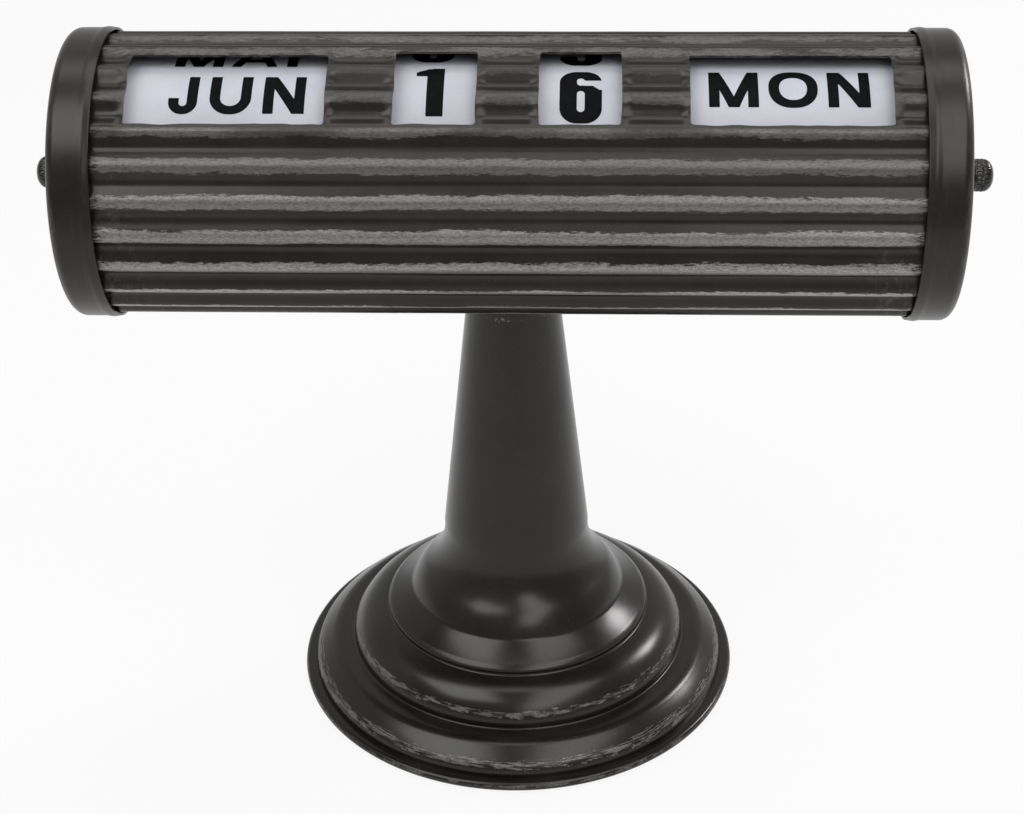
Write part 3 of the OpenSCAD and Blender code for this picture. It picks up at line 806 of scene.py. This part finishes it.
def word_glyphs():
    v, h = STEM, BAR
    ring = cut(oval(0.51, 0.5, 0.51, 0.515, 2.3), oval(0.51, 0.5, 0.51 - v, 0.515 - h, 2.2))
    open_ring = cut(ring, slant(0.65, 2, 0.65, 2, 0.33, 0.66))
    stem = box(0, 0, v, 1)
    hook = keep(cut(rounded(0, -0.015, 0.61, 1.4, 0.30),
                    rounded(v, h - 0.015, 0.61 - v, 1.5, 0.305 - v)), box(0, -0.1, 0.61, 1))
    cup = keep(cut(rounded(0, -0.015, 0.875, 1.7, 0.41),
                   rounded(v, h - 0.01, 0.875 - v, 1.8, 0.21)), box(0, -0.1, 1, 1))
    low_s = cut(oval(0.37, 0.275, 0.37, 0.29, 2.2), oval(0.37, 0.275, 0.37 - v, 0.29 - h, 2.2),
                box(-0.1, 0.275, 0.37, 0.6))
    low_s = cut(low_s, box(-0.1, 0.22, 0.30, 0.4))
    high_s = cut(oval(0.37, 0.735, 0.35, 0.28, 2.2), oval(0.37, 0.735, 0.35 - v, 0.28 - h, 2.2),
                 box(0.37, 0.4, 0.9, 0.735))
    high_s = cut(high_s, box(0.44, 0.6, 0.9, 0.78))
    return {
        "A": (0.98, join(slant(0, 0.21, 0.385, 0.595), slant(0.77, 0.98, 0.385, 0.595),
                         box(0.2, 0.20, 0.78, 0.35))),
        "B": (0.80, join(stem, bowl(0.76, 0.45, 1, 0.25), bowl(0.80, 0, 0.45 + h, 0.27))),
        "C": (1.01, open_ring),
        "D": (0.90, join(stem, bowl(0.90, 0, 1, 0.44))),
        "E": (0.70, join(stem, box(0, 1 - h, 0.68, 1), box(0, 0.42, 0.63, 0.42 + h),
                         box(0, 0, 0.70, h))),
        "F": (0.67, join(stem, box(0, 1 - h, 0.67, 1), box(0, 0.40, 0.61, 0.40 + h))),
        "G": (1.01, join(cut(ring, slant(0.65, 2, 0.65, 2, 0.36, 0.66)),
                         box(0.57, 0.36, 1.01, 0.36 + h), box(1.01 - v, 0.10, 1.01, 0.5))),
        "H": (0.86, join(stem, box(0.86 - v, 0, 0.86, 1), box(0, 0.42, 0.86, 0.42 + h))),
        "I": (v, stem),
        "J": (0.61, cut(hook, box(-0.1, 0.385, 0.61 - v, 1.2))),
        "L": (0.66, join(stem, box(0, 0, 0.66, h))),
        "M": (1.03, join(stem, box(1.03 - v, 0, 1.03, 1), slant(0.405, 0.625, 0.0, 0.225),
                         slant(0.405, 0.625, 0.805, 1.03))),
        "N": (0.87, join(stem, box(0.87 - v, 0, 0.87, 1), slant(0.61, 0.87, 0.0, 0.26))),
        "O": (1.02, ring),
        "P": (0.77, join(stem, bowl(0.77, 0.36, 1, 0.30))),
        "R": (0.82, join(stem, bowl(0.78, 0.38, 1, 0.29), slant(0.59, 0.82, 0.36, 0.58, 0, 0.45))),
        "S": (0.74, join(low_s, high_s)),
        "T": (0.80, join(box(0, 1 - h, 0.80, 1), box(0.40 - v / 2, 0, 0.40 + v / 2, 1))),
        "U": (0.875, cup),
        "V": (0.94, join(slant(0.36, 0.58, 0, 0.22), slant(0.36, 0.58, 0.72, 0.94))),
        "W": (1.36, join(slant(0.25, 0.46, 0, 0.21), slant(0.25, 0.46, 0.575, 0.785),
                         slant(0.90, 1.11, 0.575, 0.785), slant(0.90, 1.11, 1.15, 1.36))),
        "Y": (0.92, join(slant(0.355, 0.565, 0, 0.23, 0.42, 1),
                         slant(0.355, 0.565, 0.69, 0.92, 0.42, 1),
                         box(0.46 - v / 2, 0, 0.46 + v / 2, 0.45))),
    }


DIGIT_H = 20.3
HEAVY = 0.262
THIN = 0.150
DIGIT_W = 0.645


def digit_glyphs():
    """Heavy narrow digits, with the height of the 1 as the unit."""
    w, v, h = DIGIT_W, HEAVY, THIN
    slit = w - 2 * v
    drop = 0.013
    outer = rounded(0, -drop, w, 1 + drop, 0.26)
    hole = rounded(v, h, w - v, 1 - h, slit / 2)
    six_hole = rounded(v, h + 0.03, w - v, 0.575, slit / 2)
    six = cut(outer, six_hole, rounded(v, 0.685, w - v, 1 - h, slit / 2),
              box(w - v - 0.03, 0.685, w + 0.1, 0.80),
              slant(w - 0.04, w + 0.2, w - 0.16, w + 0.2, 0.60, 0.70))
    def turned(f):
        return lambda x, y: f(w - x, 1 - y)
    upper = keep(rounded(0, 0.44, w, 1 + drop, 0.25), box(-0.1, 0.44, w + 0.1, 1.1))
    lower = rounded(0, -drop, w, 0.56, 0.25)
    eight = cut(join(upper, lower), rounded(v, 0.60, w - v, 1 - h, slit / 2),
                rounded(v, h, w - v, 0.42, slit / 2))
    three = cut(eight, box(-0.1, 0.34, v + 0.02, 0.70), box(0.0, 0.30, v, 0.36))
    two_top = cut(keep(outer, box(-0.1, 0.52, 1, 1.1)), rounded(v, 0.40, w - v, 1 - h, slit / 2),
                  box(-0.1, 0.5, v + 0.01, 0.66))
    two = join(two_top, slant(0.0, 0.34, w - 0.42, w, 0.10, 0.60), box(0, 0, w, h + 0.03))
    five = join(box(0.02, 0.50, v, 1), box(0.02, 1 - h - 0.01, w - 0.03, 1),
                cut(rounded(0, -drop, w, 0.665, 0.25), rounded(v, h, w - v, 0.52, slit / 2),
                    box(-0.1, 0.34, v + 0.01, 0.50)))
    seven = join(box(0, 1 - h - 0.02, w, 1), slant(0.10, 0.40, w - 0.29, w, 0, 1 - h))
    four = join(box(w - v - 0.10, 0, w - 0.10, 1), box(0, 0.17, w, 0.17 + h),
                slant(-0.02, 0.20, w - 0.40, w - 0.18, 0.17, 1))
    one = join(box(0.17, 0, 0.17 + v, 0.985), slant(0.17, 0.432, 0.25, 0.432, 0.86, 1.0),
               slant(0.0, 0.20, 0.0, 0.30, 0.80, 0.90), slant(0.0, 0.3, 0.16, 0.4, 0.90, 0.97))
    return {"0": (w, cut(outer, hole)), "1": (0.432, one), "2": (w, two), "3": (w, three),
            "4": (w, four), "5": (w, five), "6": (w, six), "7": (w, seven), "8": (w, eight),
            "9": (w, turned(six))}


def contours(field, width, cell=0.0125):
    """Closed outlines where field is zero, found cell by cell on a fine grid."""
    pad = 4 * cell
    xs = np.arange(-pad, width + pad + cell, cell)
    ys = np.arange(-pad, 1 + pad + cell, cell)
    gx, gy = np.meshgrid(xs, ys, indexing="ij")
    d = field(gx, gy) + 1e-7
    links = {}

    def crossing(i, j, axis):
        i2, j2 = (i + 1, j) if axis == 0 else (i, j + 1)
        t = d[i, j] / (d[i, j] - d[i2, j2])
        return (xs[i] + cell * t, ys[j]) if axis == 0 else (xs[i], ys[j] + cell * t)

    inside = d < 0
    points = {}
    touched = inside[:-1, :-1] | inside[1:, :-1] | inside[:-1, 1:] | inside[1:, 1:]
    for i, j in zip(*np.nonzero(touched)):
        code = (inside[i, j], inside[i + 1, j], inside[i + 1, j + 1], inside[i, j + 1])
        if all(code):
            continue
        sides = [((i, j, 0), 0, 1), ((i + 1, j, 1), 1, 2), ((i, j + 1, 0), 2, 3), ((i, j, 1), 3, 0)]
        starts = [key for key, a, b in sides if code[a] and not code[b]]
        ends = [key for key, a, b in sides if not code[a] and code[b]]
        for key in starts + ends:
            points[key] = crossing(*key)
        if len(starts) == 2 and (d[i, j] + d[i + 1, j] + d[i, j + 1] + d[i + 1, j + 1]) > 0:
            ends = ends[::-1] if code[0] else ends
        for a, b in zip(starts, ends):
            links[a] = b
    loops = []
    while links:
        start, here = next(iter(links.items()))
        loop = [start]
        del links[start]
        while here != start:
            loop.append(here)
            here = links.pop(here)
        loops.append([points[k] for k in loop])
    return [thin_out(loop) for loop in loops if len(loop) > 6]


def thin_out(loop, tolerance=0.0012):
    """Drops points that lie on the line through their neighbours."""
    out = list(loop)
    changed = True
    while changed and len(out) > 8:
        changed = False
        kept = []
        skip = False
        for k, p in enumerate(out):
            a, b = out[k - 1], out[(k + 1) % len(out)]
            ab = math.hypot(b[0] - a[0], b[1] - a[1])
            off = abs((b[0] - a[0]) * (a[1] - p[1]) - (a[0] - p[0]) * (b[1] - a[1]))
            off /= max(ab, 1e-9)
            if off < tolerance and not skip and ab < 0.3:
                skip = True
                changed = True
            else:
                kept.append(p)
                skip = False
        out = kept
    return out


def glyph_mesh(field, width, unit, slice_step=0.9):
    """Flat triangles of a glyph in millimetres, sliced across so that they can follow a drum."""
    loops = contours(field, width)
    rings = [[Vector((x * unit, y * unit, 0)) for x, y in loop] for loop in loops]
    flat = [p for ring in rings for p in ring]
    bm = bmesh.new()
    made = [bm.verts.new(p) for p in flat]
    for tri in tessellate_polygon(rings):
        corners = [made[k] for k in tri]
        if len(set(tri)) == 3 and bm.faces.get(corners) is None:
            bm.faces.new(corners)
    y = slice_step
    while y < unit * 1.05:
        bmesh.ops.bisect_plane(bm, geom=bm.verts[:] + bm.edges[:] + bm.faces[:],
                               plane_co=(0, y, 0), plane_no=(0, 1, 0), dist=1e-4)
        y += slice_step
    bmesh.ops.triangulate(bm, faces=bm.faces[:])
    bm.normal_update()
    bm.verts.index_update()
    verts = [(p.co.x, p.co.y) for p in bm.verts]
    faces = [[p.index for p in (reversed(g.verts) if g.normal.z < 0 else g.verts)]
             for g in bm.faces]
    bm.free()
    return verts, faces


INK_T = 0.05
INK_LIFT = 0.01


def printed(name, body, glyphs, unit, rows, gap):
    """Raised ink of every word on one drum; rows are (text, x of its left edge, base angle)."""
    shapes = {ch: glyph_mesh(f, w, unit) for ch, (w, f) in glyphs.items()
              if any(ch in text for text, _, _ in rows)}
    verts, faces = [], []
    for text, left, base in rows:
        x = left
        for at, ch in enumerate(text):
            gv, gf = shapes[ch]
            start = len(verts)
            n = len(gv)
            for r in (LABEL_R + INK_LIFT + INK_T, LABEL_R + INK_LIFT):
                for px, py in gv:
                    a = math.radians(base) + py / LABEL_R
                    verts.append((x + px, -r * math.cos(a), AXIS_H + r * math.sin(a)))
            faces += [tuple(start + k for k in f) for f in gf]
            faces += [tuple(start + n + k for k in reversed(f)) for f in gf]
            rim = {}
            for f in gf:
                for a, b in zip(f, f[1:] + f[:1]):
                    rim[(a, b)] = True
            faces += [(start + b, start + a, start + n + a, start + n + b)
                      for a, b in rim if (b, a) not in rim]
            x += glyphs[ch][0] * unit + gap(ch, text, at)
    return piece(name, verts, faces, "label_ink", body, 30.0)


ROUND_LEFT = "CGO"
ROUND_RIGHT = "DO"
PLAIN_GAP = 3.75
ROUND_TRIM = 0.70
CLOSED_UP = {"AY": 6.0, "MA": 1.1, "JA": 1.0, "AT": 3.0, "OV": 0.8, "CT": 0.6}


def word_gap(ch, text, at):
    """Space after the letter at a place in a word, closed up beside round and slanted letters."""
    after = text[at + 1] if at + 1 < len(text) else ""
    round_sides = (ch in ROUND_RIGHT) + (after != "" and after in ROUND_LEFT)
    return PLAIN_GAP - CLOSED_UP.get(ch + after, 0.0) - ROUND_TRIM * round_sides


def word_width(text, glyphs):
    total = sum(glyphs[ch][0] * CAP_H for ch in text)
    return total + sum(word_gap(ch, text, at) for at, ch in enumerate(text[:-1]))


MONTHS = ["JAN", "FEB", "MAR", "APR", "MAY", "JUN", "JUL", "AUG", "SEP", "OCT", "NOV", "DEC"]
DAYS = ["SUN", "MON", "TUE", "WED", "THU", "FRI", "SAT"]
MONTH_LEFT = -105.37
MONTH_BASE = 52.55
DAY_BASE = 56.6
DAY_CENTRE = 86.65
DIGIT_BASE = {"tens": 51.45, "units": 48.5}
DIGIT_CENTRE = {"tens": -24.35, "units": 22.5}
SHOWN = {"month": 5, "weekday": 1, "tens": 1, "units": 6}

letters = word_glyphs()
printed("month_print", "month_roller", letters, CAP_H,
        [(text, MONTH_LEFT, MONTH_BASE - 360.0 / len(MONTHS) * (k - SHOWN["month"]))
         for k, text in enumerate(MONTHS)], word_gap)
printed("weekday_print", "weekday_roller", letters, CAP_H,
        [(text, DAY_CENTRE - word_width(text, letters) / 2,
          DAY_BASE - 360.0 / len(DAYS) * (k - SHOWN["weekday"])) for k, text in enumerate(DAYS)],
        word_gap)
digits = digit_glyphs()
for drum in ("tens", "units"):
    rows = [(str(k), DIGIT_CENTRE[drum] - digits[str(k)][0] * DIGIT_H / 2,
             DIGIT_BASE[drum] - 36.0 * (k - SHOWN[drum])) for k in range(10)]
    printed(drum + "_print", drum + "_roller", digits, DIGIT_H, rows, word_gap)


# ---------------------------------------------------------------- carried-over solids

NODES_IN = {
    "bright_steel": ["axle", "spring_washers", "tie_rod"],
    "zinc": ["knob_washers", "upper_nut", "lower_nut", "rod_saddle", "rod_washer"],
    "sleeve_alloy": ["outer_sleeves", "inner_sleeves", "centre_sleeve"],
    "fibre": ["friction_washers"], "grey_iron": ["base_weight"], "felt": ["felt_pad"],
}
for slot, end in (("drum_shell", "_drum"), ("disc_wood", "_end_discs"), ("label_paper", "_label")):
    NODES_IN[slot] = [drum + end for drum in ("month", "tens", "units", "weekday")]
for slot, names in NODES_IN.items():
    for name in names:
        data = NODES[name].data
        data.materials.clear()
        data.materials.append(MATS[slot])


# ---------------------------------------------------------------- floor, light and camera

FLOOR_HALF = 6.0
FLOOR_GLOW = 0.88
SHEET_END = -0.42
SHEET_FADE = -0.72


def floor():
    mesh = bpy.data.meshes.new("floor")
    corners = [(x * FLOOR_HALF, y * FLOOR_HALF, 0) for x, y in ((-1, -1), (1, -1), (1, 1), (-1, 1))]
    mesh.from_pydata(corners, [], [(0, 1, 2, 3)])
    obj = bpy.data.objects.new("floor", mesh)
    bpy.context.scene.collection.objects.link(obj)
    s = Shade("floor_white")
    grain = s.noise(s.scaled(), 3.0, 2.0, 0.5)
    s.finish(s.mix(grain, (0.90, 0.90, 0.90), (0.92, 0.92, 0.92)), 0.9, 0.0, 0.0)
    path = s.node("ShaderNodeLightPath")
    seen = s.top(path.outputs["Is Camera Ray"],
                 s.top(path.outputs["Is Glossy Ray"], path.outputs["Is Transmission Ray"]))
    # The white sheet ends in front of the object, so polished faces see a dim room beyond it
    split = s.node("ShaderNodeSeparateXYZ", {0: s.where})
    beyond = s.sub(1.0, s.ramp(split.outputs[1], SHEET_FADE, SHEET_END))
    dim = s.mul(path.outputs["Is Glossy Ray"], s.mul(beyond, 1.0 - ROOM))
    glow = s.node("ShaderNodeEmission", {"Color": (1, 1, 1, 1), "Strength": s.sub(1.0, dim)})
    blend = s.node("ShaderNodeMixShader", {0: s.mul(seen, FLOOR_GLOW)})
    s.tree.links.new(s.bsdf.outputs[0], blend.inputs[1])
    s.tree.links.new(glow.outputs[0], blend.inputs[2])
    out = next(n for n in s.tree.nodes if n.type == "OUTPUT_MATERIAL")
    s.tree.links.new(blend.outputs[0], out.inputs["Surface"])
    mesh.materials.append(s.mat)


AMBIENT = 0.34
CEILING = 0.05
WALL = 0.62
ROOM = 0.38


def world():
    w = bpy.data.worlds.new("studio")
    bpy.context.scene.world = w
    w.use_nodes = True
    tree = w.node_tree
    back = tree.nodes["Background"]
    def value(kind, inputs, **settings):
        n = tree.nodes.new(kind)
        for key, setting in settings.items():
            setattr(n, key, setting)
        for socket, source in inputs.items():
            if isinstance(source, bpy.types.NodeSocket):
                tree.links.new(source, n.inputs[socket])
            else:
                n.inputs[socket].default_value = source
        return n.outputs

    path = value("ShaderNodeLightPath", {})
    way = value("ShaderNodeSeparateXYZ", {0: value("ShaderNodeTexCoord", {})["Generated"]})
    # Polished faces see a white wall behind the object, and a dim room above and in front
    behind = value("ShaderNodeMapRange", {"Value": way[1], "From Min": -0.30, "From Max": 0.25},
                   interpolation_type="SMOOTHSTEP")[0]
    low = value("ShaderNodeMapRange", {"Value": way[2], "From Min": 0.69, "From Max": 0.80,
                                       "To Min": 1.0, "To Max": 0.0},
                interpolation_type="SMOOTHSTEP")[0]
    around = value("ShaderNodeMapRange", {"Value": behind, "To Min": ROOM, "To Max": WALL})[0]
    room = value("ShaderNodeMix", {0: low, 2: CEILING, 3: around})[0]
    bounced = value("ShaderNodeMath", {0: path["Is Glossy Ray"], 1: path["Is Transmission Ray"]},
                    operation="MAXIMUM")[0]
    soft = value("ShaderNodeMix", {0: bounced, 2: AMBIENT, 3: room})[0]
    seen = value("ShaderNodeMix", {0: path["Is Camera Ray"], 2: soft, 3: 1.0})[0]
    tree.links.new(seen, back.inputs["Strength"])
    back.inputs["Color"].default_value = (1, 1, 1, 1)


PANEL_H = 1.25


def lamp(name, place, turn, width, depth, radiance, gloss_only):
    light = bpy.data.lights.new(name, "AREA")
    light.shape = "RECTANGLE"
    light.size = width
    light.size_y = depth
    light.energy = radiance * math.pi * width * depth
    obj = bpy.data.objects.new(name, light)
    bpy.context.scene.collection.objects.link(obj)
    obj.location = place
    obj.rotation_euler = turn
    obj.visible_diffuse = not gloss_only


def overhead(name, x0, x1, y0, y1, radiance, sheen):
    """Soft panel lying flat above the object; sheen is what only polished faces see of it."""
    place = Vector(((x0 + x1) / 2, (y0 + y1) / 2, PANEL_H))
    lamp("panel_" + name, place, (0, 0, 0), x1 - x0, y1 - y0, radiance, False)
    lamp("sheen_" + name, place + Vector((0, 0, 0.01)), (0, 0, 0), x1 - x0, y1 - y0, sheen, True)


def standing(name, azimuth, elevation, distance, size, radiance, sheen):
    """Soft panel that stands to one side; azimuth is measured from the reader, to the right."""
    a, e = math.radians(azimuth), math.radians(elevation)
    way = Vector((math.sin(a) * math.cos(e), -math.cos(a) * math.cos(e), math.sin(e)))
    turn = (-way).to_track_quat("-Z", "Y").to_euler()
    aim = Vector((0, 0, 0.05))
    lamp("panel_" + name, aim + way * distance, turn, size, size, radiance, False)
    lamp("sheen_" + name, aim + way * (distance + 0.01), turn, size, size, sheen, True)


floor()
world()
overhead("left", -1.22, -0.25, -1.10, -0.13, 2.2, 2.1)
overhead("right", 0.18, 0.90, -2.20, -0.13, 1.7, 1.9)
overhead("top", -0.75, 0.80, 0.24, 0.60, 1.6, 1.3)
overhead("middle", -0.23, 0.17, -0.26, 0.20, 0.9, 1.5)
standing("side", 117, 33.5, 1.18, 0.27, 12.0, 11.0)

# The camera, as fitted to the photograph's outlines
EYE_LOOK = (-0.0371967, 0.85435409, -0.51835847)
EYE_ROLL = -0.865
EYE_PLACE = (0.02700, -0.64224, 0.49596)
FOCAL_PX = 2177.36
PHOTO_W = 1024

eye = bpy.data.cameras.new("eye")
eye_obj = bpy.data.objects.new("eye", eye)
bpy.context.scene.collection.objects.link(eye_obj)
look = Vector(EYE_LOOK).normalized()
flat_right = look.cross(Vector((0, 0, 1))).normalized()
flat_up = flat_right.cross(look)
roll = math.radians(EYE_ROLL)
eye_right = flat_right * math.cos(roll) + flat_up * math.sin(roll)
eye_up = flat_up * math.cos(roll) - flat_right * math.sin(roll)
pose = Matrix((eye_right, eye_up, -look)).transposed().to_4x4()
pose.translation = Vector(EYE_PLACE)
eye_obj.matrix_world = pose
eye.sensor_width = 36.0
eye.lens = FOCAL_PX / PHOTO_W * eye.sensor_width
eye.clip_start = 0.01
bpy.context.scene.camera = eye_obj
bpy.context.scene.view_settings.view_transform = "Standard"
